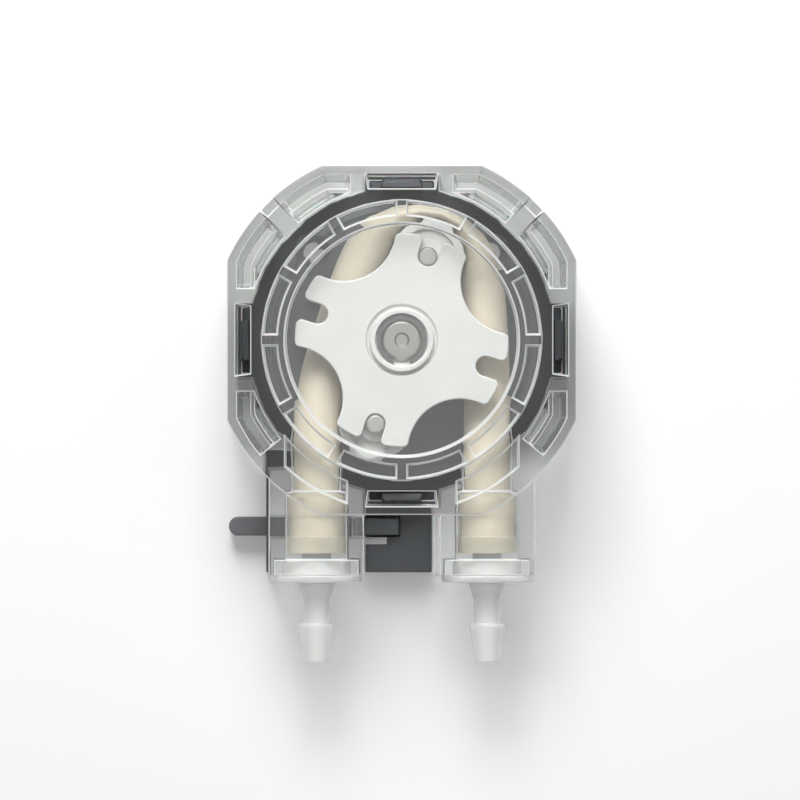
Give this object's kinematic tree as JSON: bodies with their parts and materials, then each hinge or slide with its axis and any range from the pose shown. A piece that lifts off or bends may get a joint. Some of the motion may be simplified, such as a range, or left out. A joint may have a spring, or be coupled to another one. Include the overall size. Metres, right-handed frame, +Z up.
{
  "type": "peristaltic pump head",
  "caption": "Peristaltic pump head with a clear clip-on cover, a roller rotor, one loop of soft tube and barbed hose connectors",
  "frame": {"origin": "centre of the motor pilot, in the back face of the base plate", "axes": "+Y out of the motor pilot to the back, -Y to the front window, +Z up away from the hose connectors, +X to the right in the front view"},
  "size_m": [0.06, 0.03, 0.0855],
  "materials": {
    "clear_plastic": "clear polycarbonate, polished",
    "dark_plastic": "moulded, fine matt",
    "lever_plastic": "moulded, fine matt",
    "white_mark": "printed, matt",
    "white_plastic": "acetal, satin",
    "roller_plastic": "acetal, turned",
    "washer_plastic": "slip washer",
    "cage_plastic": "nylon, matt",
    "natural_plastic": "natural polypropylene, translucent",
    "pump_tube_rubber": "soft, matt",
    "shaft_steel": "turned",
    "pin_steel": "ground",
    "bearing_steel": "ground",
    "screw_steel": "plated",
    "spring_steel": "drawn wire",
    "black_steel": "phosphated",
    "bush_bronze": "sintered"
  },
  "bodies": {
    "root": {"front_cover": "clear_plastic", "base_plate": "dark_plastic", "index_mark": "white_mark", "latch_cover": "dark_plastic", "latch_cover_screws": "screw_steel", "bearing_outer_ring": "bearing_steel", "inlet_connector": "natural_plastic", "outlet_connector": "natural_plastic", "tube_end_rings": "natural_plastic", "tube_keepers": "natural_plastic", "pump_tube": "pump_tube_rubber", "latch_spring": "spring_steel"},
    "rotor": {"rotor_rear_plate": "white_plastic", "rotor_front_plate": "white_plastic", "drive_shaft": "shaft_steel", "retaining_ring": "black_steel", "bearing_inner_ring": "bearing_steel", "roller_pin_a": "pin_steel", "roller_pin_b": "pin_steel", "roller_washers": "washer_plastic"},
    "ball_set": {"bearing_balls": "bearing_steel", "bearing_cage": "cage_plastic"},
    "roller_a_spin_body": {"roller_a": "roller_plastic", "roller_bush_a": "bush_bronze"},
    "roller_b_spin_body": {"roller_b": "roller_plastic", "roller_bush_b": "bush_bronze"},
    "latch": {"latch_slide": "lever_plastic"}
  },
  "joints": [
    {"name": "rotor_spin", "type": "hinge", "parent": "root", "child": "rotor", "pos_m": [0, -0.0159, 0], "axis": [0, -1, 0], "continuous": true, "deforming": ["pump_tube"]},
    {"name": "bearing_ball_orbit", "type": "hinge", "parent": "root", "child": "ball_set", "pos_m": [0, -0.0042, 0], "axis": [0, -1, 0], "continuous": true},
    {"name": "roller_a_spin", "type": "hinge", "parent": "rotor", "child": "roller_a_spin_body", "pos_m": [0.00452, -0.0159, 0.01441], "axis": [0, -1, 0], "continuous": true},
    {"name": "roller_b_spin", "type": "hinge", "parent": "rotor", "child": "roller_b_spin_body", "pos_m": [-0.00452, -0.0159, -0.01441], "axis": [0, -1, 0], "continuous": true},
    {"name": "latch_push", "type": "slide", "parent": "root", "child": "latch", "axis": [1, 0, 0], "range_m": [0, 0.0026], "stiffness_N_per_m": 250, "springref_m": -0.002, "deforming": ["latch_spring"]}
  ],
  "couplings": [
    {"joint": "bearing_ball_orbit", "follows": "rotor_spin", "ratio": 0.4183},
    {"joint": "roller_a_spin", "follows": "rotor_spin", "ratio": -3.3968},
    {"joint": "roller_b_spin", "follows": "rotor_spin", "ratio": -3.3968}
  ]
}
